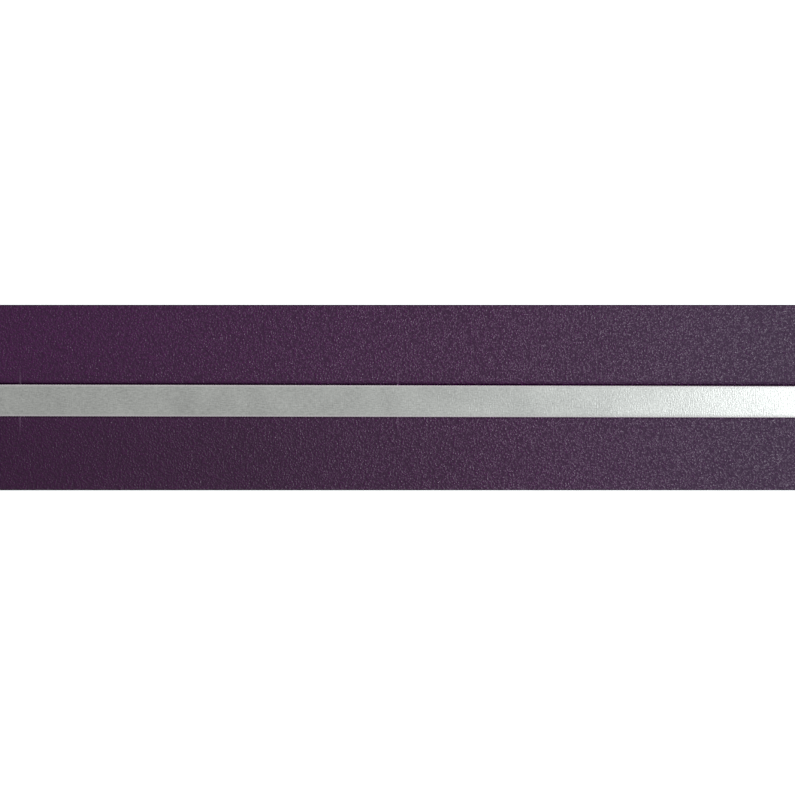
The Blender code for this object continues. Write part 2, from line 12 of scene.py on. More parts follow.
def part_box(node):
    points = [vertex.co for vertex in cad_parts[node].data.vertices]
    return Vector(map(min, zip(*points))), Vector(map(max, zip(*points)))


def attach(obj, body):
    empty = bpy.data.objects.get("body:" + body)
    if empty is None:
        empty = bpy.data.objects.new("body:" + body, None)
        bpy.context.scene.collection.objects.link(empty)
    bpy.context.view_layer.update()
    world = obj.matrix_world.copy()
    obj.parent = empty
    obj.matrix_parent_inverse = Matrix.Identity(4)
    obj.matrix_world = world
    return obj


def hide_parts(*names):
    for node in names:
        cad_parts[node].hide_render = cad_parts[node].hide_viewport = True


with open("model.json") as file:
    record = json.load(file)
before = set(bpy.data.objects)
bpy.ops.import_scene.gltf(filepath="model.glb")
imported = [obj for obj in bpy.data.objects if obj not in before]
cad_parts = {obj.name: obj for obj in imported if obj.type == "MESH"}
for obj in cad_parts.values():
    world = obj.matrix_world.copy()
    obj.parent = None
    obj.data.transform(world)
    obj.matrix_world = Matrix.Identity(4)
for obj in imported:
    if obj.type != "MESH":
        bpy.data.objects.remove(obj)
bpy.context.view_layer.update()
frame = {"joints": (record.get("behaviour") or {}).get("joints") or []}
JOINT = {joint["name"]: joint for joint in frame["joints"]}

# -------- sizes, metres
RIBBON_LENGTH = 6.0
RIBBON_W = 0.0400
RIBBON_T = 0.00033
EDGE = 0.00010             # rounding of the ribbon's edges
CREASE = 0.00020           # depth pressed in beside the silver ribbon
MARK_PITCH = 0.0815        # faint crosswise marks left by folding
MARK_START = 0.1484
STRIPE_W = 0.00684
STRIPE_T = 0.00020         # on the flat and round the outermost turn
STRIPE_T_WOUND = 0.00010   # pressed in the inner turns
STRIPE_Y = -0.00079
STRIPE_SKEW = -0.0019      # sideways drift of the silver ribbon per metre
AIR = 0.00001
LOOP_PITCH = 0.000575      # selvedge loops of the silver ribbon
LOOP_OUT = 0.00005
LOOP_YARN = 0.00005
RISE_1 = (0.0980, 0.1080, 0.00042)   # the ribbon rises: from, to, by
RISE_2 = (0.1250, 0.1650, 0.00258)
TAPER = (0.1500, 0.1720)   # it narrows to the tongue between these
TONGUE_R = 0.0043
DOUBLE_X = 0.1090          # end of the ply folded back
PATCH_X = 0.1655
PATCH_T = 0.00020
PATCH_INSET = 0.00015
LEAD_R = 0.0160
CORE_R = 0.0082            # inner end of the wound ribbon
PLY_GAP = 0.00005
PLY_STEP = 0.00040         # from the middle of one ply to the middle of the next
HEM_R = 0.0073             # folded hem inside the core
HEM_T = 0.0006
HEM_INSET = 0.0005
LAID_Z = 0.000175          # middle of the ribbon above the surface
EYE_BORE_R = 0.0022
EYE_BARREL_R = 0.00255
EYE_FLANGE_R = 0.0040
EYE_WASHER_R = 0.0036
STITCH_R = 0.00015
STITCH_PITCH = 0.0026
SEAM_IN = 0.0016           # edge stitches, in from the ribbon's edge
TACK_X = 0.1722            # zigzag tack, on the roll's side of the eyelet
TACK_L = 0.0072
TACK_HALF = 0.0031
TIE_T = 0.0009
TIE_ROUND = 0.0020         # middle of the tie where it turns a corner
FIT = 0.00005              # clearance of a piece in its bore, on the radius
NO_STRIPE = 0.05           # stands for the silver ribbon's middle on a band that has none
SHARP = 35.0               # degrees between two faces from which their edge stays sharp
# snap hook
HOOK_R = 0.0040
HOOK_WIRE = 0.00075
HOOK_NEAR = 0.00289
HOOK_FAR = 0.00889
REAR_R = 0.0025
REAR_WIRE = 0.0006
GATE_NOSE = 0.00245
GATE_HUB_R = 0.00095
NOSE_TURN = 105            # the wire's free end, in degrees round the near bend
BRIDGE_TURN = 62           # and its end at the gate's fork, round the far bend
BRIDGE_Y = 0.00131         # half width of the block that carries the fork
CHEEKS = (0.00085, 0.00125)   # inside and outside of the fork's cheeks
PIN_R = 0.00035
PIN_HEAD_R = 0.0006
PIN_HALF = 0.00155
COIL_R = 0.00066           # gate spring
COIL_WIRE = 0.0001
COIL_TURN = 600            # degrees
# swivel, link ring and tip eye
EYE_R = 0.0023
EYE_WIRE = 0.0005
EYE_S = 0.00105
BARREL_L = 0.0090
BARREL_R = 0.0025
BARREL_MOUTH = 0.0008
BARREL_BORE = 0.0018
BARREL_WALL = 0.0011
HEAD_INSET = 0.0015        # heads of the wire eyes, in from the barrel's ends
RING_R = 0.0034
RING_WIRE = 0.00055
TIP_EYE_S = 0.0045
# stick, along its own axis from the ferrule's face
STICK_L = 0.5600
SHAFT_TIP_R = 0.0025
SHAFT_BUTT_R = 0.0041
FERRULE_L = 0.0220
FERRULE_R = 0.0035
FERRULE_MOUTH = 0.0010
FERRULE_CUP = 0.0021       # room for the turning eye's head
CROSS_S = 0.0120           # cross pin
CROSS_R = 0.0006
CROSS_BORE = 0.00064
COLLAR_START = 0.4520
GRIP_START = 0.4622
GRIP_END = 0.5550
GRIP_R = 0.0050
GRIP_BANDS = 9
GROOVE = 0.00035
COLLAR_R = 0.0048
CAMERA_HEIGHT = 0.45
VIEW_WIDTH = 0.1716        # width of the picture on the surface
SENSOR = 36.0              # mm

EYE_X = JOINT["eyelet_swing"]["pos_m"][0]
ROLL_LOW, ROLL_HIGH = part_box("ribbon_roll")
ROLL_X = (ROLL_LOW.x + ROLL_HIGH.x) / 2
ROLL_Z = (ROLL_LOW.z + ROLL_HIGH.z) / 2
TURN_OUT = 0.000275                                  # over the CAD roll's own radius
TURN_R = (ROLL_HIGH.z - ROLL_LOW.z) / 2 + TURN_OUT   # middle of the outermost turn
TURN_FULL = math.radians(300.0)                      # the outermost turn keeps its radius to here
WOUND_STEP = 0.0035                                  # between two places on the wound ribbon
LIE_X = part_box("ribbon_run")[0].x                    # the flat stretch ends and the lead begins


# -------- mesh helpers

def linked(name, data):
    """A new object in the scene."""
    obj = bpy.data.objects.new(name, data)
    bpy.context.scene.collection.objects.link(obj)
    return obj


def closed_mesh(name, verts, faces, lay=None):
    """A mesh with its faces outward; lay is where each point is on the laid-out ribbon."""
    mesh = bpy.data.meshes.new(name)
    mesh.from_pydata([tuple(v) for v in verts], [], faces)
    if lay is not None:
        store = mesh.attributes.new("lay", "FLOAT_VECTOR", "POINT")
        store.data.foreach_set("vector", np.array(lay, np.float32).ravel())
    bm = bmesh.new()
    bm.from_mesh(mesh)
    bmesh.ops.recalc_face_normals(bm, faces=bm.faces[:])
    bm.to_mesh(mesh)
    bm.free()
    return mesh


def dress(mesh, mat, sharp):
    """One material, smooth where the mesh is round."""
    mesh.materials.append(mat)
    mesh.shade_smooth()
    mesh.set_sharp_from_angle(angle=math.radians(sharp))


def piece(name, shape, look, body, *nodes, lay=None, sharp=SHARP):
    """A finished piece that rides on its body; its look is a material and a slot's name, the name not
    used.
    """
    mat, slot = look
    mesh = closed_mesh(name, *shape, lay)
    dress(mesh, mat, sharp)
    obj = linked(name, mesh)
    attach(obj, body)
    if nodes:
        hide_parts(*nodes)
    return obj


def loop_faces(count, sides, closed=False):
    """Quads between rings of points, with flat ends unless the run is closed."""
    faces = []
    for i in range(count if closed else count - 1):
        a, b = i * sides, ((i + 1) % count) * sides
        for j in range(sides):
            k = (j + 1) % sides
            faces.append((a + j, b + j, b + k, a + k))
    if not closed:
        faces.append(tuple(range(sides))[::-1])
        faces.append(tuple((count - 1) * sides + j for j in range(sides)))
    return faces


def tube(points, radius, sides, closed=False):
    """Round wire along points; radius is one number or one per point."""
    pts = [Vector(p) for p in points]
    count = len(pts)
    radii = radius if hasattr(radius, "__len__") else [radius] * count
    verts, side = [], None
    for i, point in enumerate(pts):
        if closed:
            ahead = pts[(i + 1) % count] - pts[i - 1]
        else:
            ahead = pts[min(i + 1, count - 1)] - pts[max(i - 1, 0)]
        ahead.normalize()
        if side is None:
            side = ahead.orthogonal().normalized()
        side = (side - ahead * side.dot(ahead)).normalized()
        up = ahead.cross(side)
        for j in range(sides):
            turn = 2 * math.pi * j / sides
            verts.append(point + (side * math.cos(turn) + up * math.sin(turn)) * radii[i])
    return verts, loop_faces(count, sides, closed)


def lathe(profile, sides):
    """Turned shape about X; the outline is closed unless it starts and ends on the axis."""
    solid = profile[0][1] == 0.0
    rows = profile[1:-1] if solid else profile
    verts = []
    for x, radius in rows:
        for j in range(sides):
            turn = 2 * math.pi * j / sides
            verts.append(Vector((x, radius * math.cos(turn), radius * math.sin(turn))))
    return verts, loop_faces(len(rows), sides, not solid)


def rounded(profile, radius=0.00015, steps=3):
    """Round the corners of a turned outline; one that doesn't touch the axis is closed."""
    solid = profile[0][1] == 0.0
    pts = [np.array(point, float) for point in profile]
    corners = range(1, len(pts) - 1) if solid else range(len(pts))
    out = [profile[0]] if solid else []
    for i in corners:
        before, here, after = pts[i - 1], pts[i], pts[(i + 1) % len(pts)]
        back, ahead = before - here, after - here
        reach = min(radius, 0.45 * np.linalg.norm(back), 0.45 * np.linalg.norm(ahead))
        start = here + back / np.linalg.norm(back) * reach
        stop = here + ahead / np.linalg.norm(ahead) * reach
        for step in range(steps + 1):
            t = step / steps
            point = (1 - t) ** 2 * start + 2 * t * (1 - t) * here + t * t * stop
            out.append((float(point[0]), float(point[1])))
    if solid:
        out.append(profile[-1])
    return out


def corner_turns(steps):
    """Angles round the four corners of a rounded box, with the signs of each corner."""
    for start, x_sign, z_sign in ((0, 1, 1), (90, -1, 1), (180, -1, -1), (270, 1, -1)):
        for i in range(steps + 1):
            yield math.radians(start + 90 * i / steps), x_sign, z_sign


def rounded_box(x0, x1, z0, z1, radius, steps=6):
    pts = []
    for turn, x_sign, z_sign in corner_turns(steps):
        x = x1 - radius if x_sign > 0 else x0 + radius
        z = z1 - radius if z_sign > 0 else z0 + radius
        pts.append((x + radius * math.cos(turn), z + radius * math.sin(turn)))
    return pts


def placed(shape, matrix):
    verts, faces = shape
    return [matrix @ Vector(v) for v in verts], faces


def joined(*shapes):
    verts, faces = [], []
    for part_verts, part_faces in shapes:
        start = len(verts)
        verts += list(part_verts)
        faces += [tuple(start + i for i in face) for face in part_faces]
    return verts, faces


def ring(centre_x, radius, upright, count, wire):
    """Closed ring of round wire, standing in the XZ plane or lying in the XY plane."""
    pts = []
    for i in range(count):
        turn = 2 * math.pi * i / count
        x, off = centre_x + radius * math.cos(turn), radius * math.sin(turn)
        pts.append((x, 0.0, off) if upright else (x, off, 0.0))
    return tube(pts, wire, 20, True)


def at(joint):
    return Vector(JOINT[joint]["pos_m"])


def line_frame(origin, start, stop):
    """Local X from one joint towards another, Z up, origin on a joint."""
    x = (at(stop) - at(start)).normalized()
    y = Vector((0, 0, 1)).cross(x).normalized()
    z = x.cross(y)
    turn = Matrix((x, y, z)).transposed().to_4x4()
    return Matrix.Translation(at(origin)) @ turn


def cut(obj, shape):
    """Take a closed shape out of a piece."""
    tool = linked("tool", closed_mesh("tool", *shape))
    mod = obj.modifiers.new("cut", "BOOLEAN")
    mod.operation = "DIFFERENCE"
    mod.solver = "EXACT"
    mod.object = tool
    bpy.context.view_layer.update()
    graph = bpy.context.evaluated_depsgraph_get()
    mesh = bpy.data.meshes.new_from_object(obj.evaluated_get(graph))
    mat = obj.data.materials[0]
    obj.modifiers.clear()
    obj.data = mesh
    mesh.materials.clear()
    mesh.polygons.foreach_set("material_index", [0] * len(mesh.polygons))
    dress(mesh, mat, SHARP)
    bpy.data.objects.remove(tool, do_unlink=True)


# -------- material helpers

class Shader:
    """A Principled material and short ways to add nodes to it."""

    def __init__(self, name, rough, metal=0.0, specular=0.5):
        self.mat = bpy.data.materials.new(name)
        self.mat.use_nodes = True
        self.tree = self.mat.node_tree
        self.bsdf = self.tree.nodes["Principled BSDF"]
        self.bsdf.inputs["Roughness"].default_value = rough
        self.bsdf.inputs["Metallic"].default_value = metal
        self.bsdf.inputs["Specular IOR Level"].default_value = specular

    def link(self, source, target):
        self.tree.links.new(source, target)

    def feed(self, socket, value):
        """Join a socket to what another node gives, or set it to a number or a colour."""
        if isinstance(value, bpy.types.NodeSocket):
            self.link(value, socket)
        elif socket.type == "RGBA":
            socket.default_value = (*value, 1.0)
        else:
            socket.default_value = value

    def node(self, kind, **inputs):
        made = self.tree.nodes.new(kind)
        for key, value in inputs.items():
            self.feed(made.inputs[key.replace("_", " ")], value)
        return made

    def place(self, stretch=(1.0, 1.0, 1.0)):
        """Where a point is on the piece, in metres, stretched for a directional texture."""
        where = self.tree.nodes.new("ShaderNodeTexCoord").outputs["Object"]
        return self.node("ShaderNodeMapping", Vector=where, Scale=stretch).outputs["Vector"]

    def lay(self):
        """Along the ribbon, across it, and across from the silver ribbon's middle."""
        source = self.tree.nodes.new("ShaderNodeAttribute")
        source.attribute_name = "lay"
        return source.outputs["Vector"]

    def laid(self, along=1.0, wide=1.0):
        """Place on the laid-out ribbon, stretched like place."""
        stretch = (along, wide, 0.0)
        return self.node("ShaderNodeMapping", Vector=self.lay(), Scale=stretch).outputs["Vector"]

    def apart(self):
        split = self.node("ShaderNodeSeparateXYZ", Vector=self.lay())
        return split.outputs["X"], split.outputs["Y"], split.outputs["Z"]

    def noise(self, vector, scale, detail, rough):
        made = self.node("ShaderNodeTexNoise", Vector=vector, Scale=scale, Detail=detail,
                         Roughness=rough)
        return made.outputs["Fac"]

    def cells(self, vector, scale, smooth):
        made = self.node("ShaderNodeTexVoronoi", Vector=vector, Scale=scale)
        made.feature = "SMOOTH_F1"
        made.inputs["Smoothness"].default_value = smooth
        return made.outputs["Distance"]

    def math(self, operation, a, b=0.0):
        made = self.tree.nodes.new("ShaderNodeMath")
        made.operation = operation
        self.feed(made.inputs[0], a)
        self.feed(made.inputs[1], b)
        return made.outputs["Value"]

    def times(self, a, b):
        return self.math("MULTIPLY", a, b)

    def plus(self, a, b):
        return self.math("ADD", a, b)

    def span(self, value, low, high, to_low, to_high):
        """Carry the range from low to high over to another, held at its ends."""
        made = self.node("ShaderNodeMapRange", Value=value, From_Min=low, From_Max=high,
                         To_Min=to_low, To_Max=to_high)
        return made.outputs["Result"]

    def near(self, value, centre, inner, outer):
        """1 within inner of centre, fading to 0 at outer."""
        off = self.math("ABSOLUTE", self.math("SUBTRACT", value, centre))
        return self.span(off, inner, outer, 1.0, 0.0)

    def blend(self, factor, dark, light):
        made = self.tree.nodes.new("ShaderNodeMix")
        made.data_type = "RGBA"
        self.link(factor, made.inputs["Factor"])
        for key, value in (("A", dark), ("B", light)):
            self.feed(next(s for s in made.inputs if s.name == key and s.type == "RGBA"), value)
        return next(s for s in made.outputs if s.type == "RGBA")

    def colour(self, value):
        self.feed(self.bsdf.inputs["Base Color"], value)

    def roughness(self, value):
        self.link(value, self.bsdf.inputs["Roughness"])

    def bump(self, height, distance):
        made = self.node("ShaderNodeBump", Height=height, Distance=distance, Strength=1.0)
        self.link(made.outputs["Normal"], self.bsdf.inputs["Normal"])


# -------- materials

def purple_grain():
    """Pebbled, low-sheen purple: grain about half a millimetre across, glossier on its crests."""
    s = Shader("purple_grained_ribbon", 0.5, specular=0.18)
    place = s.laid()
    pebble = s.cells(place, 2200.0, 0.25)
    fine = s.noise(place, 3100.0, 1.0, 0.5)
    cloud = s.noise(place, 42.0, 3.0, 0.55)
    height = s.math("SUBTRACT", fine, s.times(pebble, 0.8))
    crest = s.span(height, -0.05, 0.45, 0.0, 1.0)
    tone = s.plus(s.times(crest, 0.8), s.times(cloud, 0.2))
    grain = s.blend(tone, (0.0180, 0.0001, 0.0186), (0.0498, 0.0068, 0.0490))
    arc, wide, side = s.apart()
    # painted sheen: the colour turns greyer towards the clipped end
    grain = s.blend(s.span(arc, 0.17, 0.11, 0.0, 0.4), grain, (0.0240, 0.0120, 0.0330))
    # shadow in the pressed lines beside the silver ribbon, and down the flat stretch's edges
    edge = STRIPE_W / 2
    upper = s.near(side, edge + 0.00016, 0.00010, 0.00038)
    lower = s.near(side, -edge - 0.00012, 0.00005, 0.00022)
    fold = s.math("MAXIMUM", upper, s.times(lower, 0.5))
    rim = s.span(s.math("ABSOLUTE", wide), RIBBON_W / 2 - 0.0003, RIBBON_W / 2, 0.0, 0.8)
    rim = s.times(rim, s.span(arc, 0.28, 0.29, 1.0, 0.0))
    hidden = s.math("MAXIMUM", fold, rim)
    shade = s.blend(hidden, grain, (0.0060, 0.0005, 0.0065))
    # faint crosswise marks, strongest beside the silver ribbon
    beat = s.math("FRACT", s.math("DIVIDE", s.math("SUBTRACT", arc, MARK_START), MARK_PITCH))
    beside = s.near(side, 0.0, 0.004, 0.0075)
    mark = s.times(s.near(beat, 0.5, 0.0010, 0.0028), beside)
    mark = s.times(mark, s.span(fine, 0.30, 0.65, 0.1, 0.6))
    mark = s.times(mark, s.span(arc, 0.12, 0.18, 0.0, 1.0))
    # painted shade: one half of the width is darker, ahead of the roll
    half = s.span(wide, 0.010, -0.010, 0.0, 0.4)
    painted_shade_by_roll = s.times(s.near(arc, 0.25, 0.03, 0.10), half)
    shade = s.blend(painted_shade_by_roll, shade, (0.0100, 0.0002, 0.0080))
    s.colour(s.blend(mark, shade, (0.12, 0.070, 0.12)))
    s.roughness(s.span(height, -0.05, 0.40, 0.57, 0.245))
    # a metal of this dark colour hardly shines: the folds and rims lose their gloss
    s.link(hidden, s.bsdf.inputs["Metallic"])
    s.bump(height, 0.000078)
    return s.mat


def silver_satin():
    """Satin: fine lengthwise floats, faint cross ribs and a broad gloss."""
    s = Shader("silver_satin_ribbon", 0.3, 0.15)
    floats = s.noise(s.laid(900.0, 4400.0), 1.0, 1.0, 0.5)
    ribs = s.noise(s.laid(4200.0, 900.0), 1.0, 1.0, 0.5)
    mottle = s.noise(s.laid(), 3500.0, 1.0, 0.5)
    cloud = s.noise(s.laid(), 140.0, 2.0, 0.5)
    weave = s.plus(s.times(ribs, 0.4), s.times(mottle, 0.6))
    tone = s.plus(s.times(floats, 0.35), s.times(weave, 0.45))
    tone = s.span(s.plus(tone, s.times(cloud, 0.2)), 0.35, 0.65, 0.0, 1.0)
    face = s.blend(tone, (0.172, 0.172, 0.164), (0.310, 0.311, 0.295))
    side = s.math("ABSOLUTE", s.apart()[2])
    # painted highlight: the face turns lighter and pinker near both edges
    selvedge = s.span(side, STRIPE_W / 2 - 0.00050, STRIPE_W / 2 - 0.00015, 0.0, 0.5)
    s.colour(s.blend(selvedge, face, (0.420, 0.370, 0.400)))
    s.roughness(s.span(weave, 0.38, 0.62, 0.324, 0.298))
    s.bump(weave, 0.000028)
    return s.mat


def thread(dark, light):
    """Twisted sewing thread."""
    s = Shader("purple_thread", 0.6)
    twist = s.noise(s.place(), 5200.0, 2.0, 0.6)
    s.colour(s.blend(twist, dark, light))
    s.bump(twist, 0.00005)
    return s.mat


def selvedge_yarn():
    """Edge yarn of the silver ribbon, a shade warmer than its face."""
    s = Shader("silver_selvedge", 0.45, 0.1)
    ply = s.noise(s.laid(3000.0, 9000.0), 1.0, 2.0, 0.6)
    s.colour(s.blend(ply, (0.340, 0.305, 0.325), (0.440, 0.400, 0.420)))
    s.bump(ply, 0.00002)
    return s.mat


def woven_tape(dark, light):
    """Plain woven tape: a fine over-and-under ground."""
    s = Shader("dark_patch_tape", 0.75)
    ribs = s.noise(s.place((900.0, 3600.0, 900.0)), 1.0, 1.0, 0.4)
    fuzz = s.noise(s.place(), 4200.0, 3.0, 0.7)
    height = s.plus(ribs, s.times(fuzz, 0.6))
    s.colour(s.blend(s.span(height, 0.4, 1.2, 0.0, 1.0), dark, light))
    s.bump(height, 0.00008)
    return s.mat


def plated(name, base, rough, wear):
    """Bright plate with handling marks."""
    s = Shader(name, rough, 1.0)
    smear = s.noise(s.place(), 420.0, 4.0, 0.65)
    scuff = s.noise(s.place((2600.0, 700.0, 700.0)), 1.0, 3.0, 0.7)
    s.colour(s.blend(s.span(smear, 0.3, 0.7, 0.0, 1.0), tuple(c * 0.86 for c in base), base))
    s.roughness(s.span(scuff, 0.3, 0.75, rough - wear / 2, rough + wear))
    s.bump(scuff, 0.00001)
    return s.mat


def turned_metal(base, rough):
    """Turned metal with fine rings about the stick's axis, as a lathe leaves them."""
    s = Shader("satin_aluminium", rough, 1.0)
    along = s.tree.nodes.new("ShaderNodeVectorMath")
    along.operation = "DOT_PRODUCT"
    s.feed(along.inputs[0], s.tree.nodes.new("ShaderNodeTexCoord").outputs["Object"])
    s.feed(along.inputs[1], Vector(JOINT["stick_spin"]["axis"]) * 5200.0)
    rings = s.node("ShaderNodeTexNoise", Scale=1.0)
    rings.noise_dimensions = "1D"
    s.feed(rings.inputs["W"], along.outputs["Value"])
    s.colour(s.blend(rings.outputs["Fac"], tuple(c * 0.85 for c in base), base))
    s.bump(rings.outputs["Fac"], 0.00003)
    return s.mat


def fibreglass():
    """Glass-fibre rod under violet pearl lacquer, with light scuffs and rubbed spots."""
    s = Shader("violet_fibreglass", 0.30)
    s.bsdf.inputs["Coat Weight"].default_value = 0.5
    s.bsdf.inputs["Coat Roughness"].default_value = 0.10
    cloud = s.noise(s.place(), 90.0, 4.0, 0.6)
    pearl = s.noise(s.place(), 6500.0, 2.0, 0.6)
    speck = s.noise(s.place(), 1300.0, 2.0, 0.6)
    tone = s.plus(s.times(cloud, 0.5), s.times(pearl, 0.5))
    base = s.blend(s.span(tone, 0.4, 0.6, 0.0, 1.0), (0.155, 0.085, 0.205), (0.225, 0.135, 0.285))
    mark = s.times(s.math("GREATER_THAN", speck, 0.70), 0.5)
    s.colour(s.blend(mark, base, (0.36, 0.30, 0.38)))
    s.roughness(s.span(cloud, 0.35, 0.65, 0.24, 0.38))
    s.bump(cloud, 0.00004)
    return s.mat


def soft_rubber():
    """Matt grip rubber with a fine moulded tooth."""
    s = Shader("purple_grip_rubber", 0.72, specular=0.35)
    tooth = s.cells(s.place(), 1900.0, 0.3)
    rub = s.noise(s.place(), 130.0, 4.0, 0.6)
    worn = s.span(rub, 0.35, 0.7, 0.0, 1.0)
    s.colour(s.blend(worn, (0.045, 0.018, 0.050), (0.075, 0.035, 0.082)))
    s.bump(tooth, 0.00012)
    return s.mat


def moulded(dark, light):
    """Moulded plastic with a light spark-eroded texture."""
    s = Shader("black_plastic", 0.38)
    grain = s.noise(s.place(), 3200.0, 3.0, 0.6)
    s.colour(s.blend(grain, dark, light))
    s.bump(grain, 0.00003)
    return s.mat


def brushed_strap():
    """Loop pile of a hook-and-loop tie."""
    s = Shader("dark_tie_strap", 0.9, specular=0.25)
    s.bsdf.inputs["Sheen Weight"].default_value = 0.25
    s.bsdf.inputs["Sheen Roughness"].default_value = 0.5
    pile = s.noise(s.place(), 3000.0, 4.0, 0.75)
    tuft = s.cells(s.place(), 1600.0, 0.2)
    height = s.plus(pile, tuft)
    lit = s.span(height, 0.6, 1.3, 0.0, 1.0)
    s.colour(s.blend(lit, (0.010, 0.009, 0.011), (0.035, 0.032, 0.038)))
    s.bump(height, 0.00025)
    return s.mat


# each look: a material and a slot's name
PURPLE = purple_grain(), "purple_grained_ribbon"
SILVER = silver_satin(), "silver_satin_ribbon"
YARN = selvedge_yarn(), "silver_satin_ribbon"
THREAD = thread((0.050, 0.020, 0.052), (0.11, 0.055, 0.12)), "purple_thread"
PATCH = woven_tape((0.018, 0.009, 0.020), (0.050, 0.030, 0.056)), "dark_patch_tape"
STRAP = brushed_strap(), "dark_tie_strap"
NICKEL = plated("nickel_plate", (0.62, 0.60, 0.56), 0.22, 0.08), "nickel_plate"
STEEL = plated("spring_steel", (0.42, 0.42, 0.44), 0.28, 0.12), "spring_steel"
ALUMINIUM = turned_metal((0.55, 0.56, 0.58), 0.30), "satin_aluminium"
FIBREGLASS = fibreglass(), "violet_fibreglass"
RUBBER = soft_rubber(), "purple_grip_rubber"
PLASTIC = moulded((0.012, 0.012, 0.013), (0.026, 0.026, 0.028)), "black_plastic"


# -------- how the ribbon lies

def ease(x, start, stop):
    t = min(max((x - start) / (stop - start), 0.0), 1.0)
    return t * t * (3 - 2 * t)


def ribbon_height(x):
    """Middle of the main ply above the surface, on the stretch that isn't wound."""
    z = LAID_Z
    for start, stop, rise in (RISE_1, RISE_2):
        z += rise * ease(x, start, stop)
    return z


def plan_width(x):
    neck = 2 * TONGUE_R
    if x <= TAPER[0]:
        return RIBBON_W
    if x <= TAPER[1]:
        return RIBBON_W + (neck - RIBBON_W) * (x - TAPER[0]) / (TAPER[1] - TAPER[0])
    if x <= EYE_X:
        return neck
    return 2 * math.sqrt(max(TONGUE_R ** 2 - (x - EYE_X) ** 2, 1e-7))


def tongue_end(degrees):
    """Place along the ribbon at this angle round the tongue's end."""
    return EYE_X + TONGUE_R * math.sin(math.radians(degrees))


def stations(start, stop, step=0.003):
    """Places along the flat stretch, closer together where it rises and round the tongue."""
    marks = set(np.arange(start, stop, step).tolist()) | {start, stop}
    marks.update(np.linspace(RISE_1[0], RISE_1[1], 13).tolist())
    marks.update(np.linspace(TAPER[0], TAPER[1], 12).tolist())
    marks.update(tongue_end(5 * i) for i in range(-10, 17))
    kept = [mark for mark in sorted(marks) if start <= mark <= stop]
    clean = [kept[0]]
    for mark in kept[1:]:
        if mark - clean[-1] > 0.0001:
            clean.append(mark)
    return clean


def flat_line(start, stop):
    """(x, z) from the tongue back towards the roll."""
    return [(x, ribbon_height(x)) for x in stations(start, stop)[::-1]]


def lead_line(steps=28):
    """The bend that brings the ribbon from the surface up on to the roll."""
    bend_z = LAID_Z + LEAD_R
    touch = math.atan2(bend_z - ROLL_Z, LIE_X - ROLL_X)
    start, stop = -math.pi / 2, touch - math.pi
    pts = []
    for i in range(1, steps + 1):
        turn = start + (stop - start) * i / steps
        pts.append((LIE_X + LEAD_R * math.cos(turn), bend_z + LEAD_R * math.sin(turn)))
    return pts, touch


def wound_line(start_turn, length):
    """Outermost turn at one radius, then an even spiral in to the core."""
    outer = TURN_R * (TURN_FULL - start_turn)
    pitch = math.pi * (TURN_R ** 2 - CORE_R ** 2) / (length - outer)
    step_in = 2 * math.pi + start_turn - TURN_FULL
    pts, turn, radius, gone = [], start_turn, TURN_R, 0.0
    while gone < length and radius > CORE_R * 0.97:
        step = min(WOUND_STEP / radius, math.radians(10))
        turn += step
        if turn > TURN_FULL:
            inward = turn - TURN_FULL
            turns_in = min(inward / step_in, 1.0) + max(inward - step_in, 0) / (2 * math.pi)
            radius = TURN_R - pitch * turns_in
        gone += radius * step
        pts.append((ROLL_X + radius * math.cos(turn), ROLL_Z + radius * math.sin(turn)))
    return pts


def ribbon_line():
    """The whole ribbon from tongue to inner end, and how much of it isn't wound."""
    front = flat_line(LIE_X, tongue_end(80))
    bend, touch = lead_line()
    front += bend
    wound = wound_line(touch, RIBBON_LENGTH - run_lengths(front)[-1])
    return front + wound, len(front)


def out_of(line):
    """Outward directions along a line that runs from the tongue to the core."""
    steps = np.gradient(np.array(line), axis=0)
    steps /= np.linalg.norm(steps, axis=1)[:, None]
    return np.stack([steps[:, 1], -steps[:, 0]], axis=1)


def run_lengths(line):
    """How much of the line has gone at each of its points."""
    steps = np.linalg.norm(np.diff(np.array(line), axis=0), axis=1)
    return np.concatenate([[0.0], np.cumsum(steps)])


def stripe_middle(x, unwound):
    return STRIPE_Y + (STRIPE_SKEW * x if unwound else STRIPE_SKEW * LIE_X)


def telescoped(gone, wound):
    """Wound turns stand in and out at the sides by a fraction of a millimetre; wound counts
    the places since the winding began."""
    depth = min(max(wound / 200.0, 0.0), 1.0)
    return depth * (0.00022 * math.sin(gone * 9.1) + 0.00016 * math.sin(gone * 23.7 + 1.0))


def sweep_band(line, section):
    """Carry a cross-section along a line; section(i, gone) gives (across, outward) pairs and
    the middle of the silver ribbon there."""
    outward, gone = out_of(line), run_lengths(line)
    verts, lay, sides = [], [], 0
    for i, ((x, z), (nx, nz)) in enumerate(zip(line, outward)):
        pairs, middle = section(i, gone[i])
        sides = len(pairs)
        for across, rise in pairs:
            verts.append((x + rise * nx, across, z + rise * nz))
            lay.append((gone[i], across, across - middle))
    return (verts, loop_faces(len(line), sides)), lay


# -------- ribbon

def purple_section(half, middle, shift, crease):
    """Flat band with rounded edges and a pressed line along each side of the silver ribbon."""
    up, low, t = middle + STRIPE_W / 2, middle - STRIPE_W / 2, RIBBON_T / 2
    pressed = [(up + 0.0010, t), (up + 0.0008, t), (up + 0.00030, t - crease),
               (up - 0.00005, t - crease), (up - 0.0005, t), (low + 0.0005, t),
               (low, t - 0.3 * crease), (low - 0.0003, t - 0.3 * crease), (low - 0.0007, t),
               (low - 0.0009, t)]
    room = half - 3.2 * EDGE
    inner = [(min(max(y, -room + 1e-5 * i), room - 1e-5 * i), n)
             for i, (y, n) in enumerate(pressed, 1)]
    rim = rim_points(half)
    top = rim + inner + [(-y, n) for y, n in rim[::-1]]
    return [(y + shift, n) for y, n in top + [(y, -n) for y, n in rim_points(-half)]
            + [(y, -n) for y, n in rim[::-1]]]


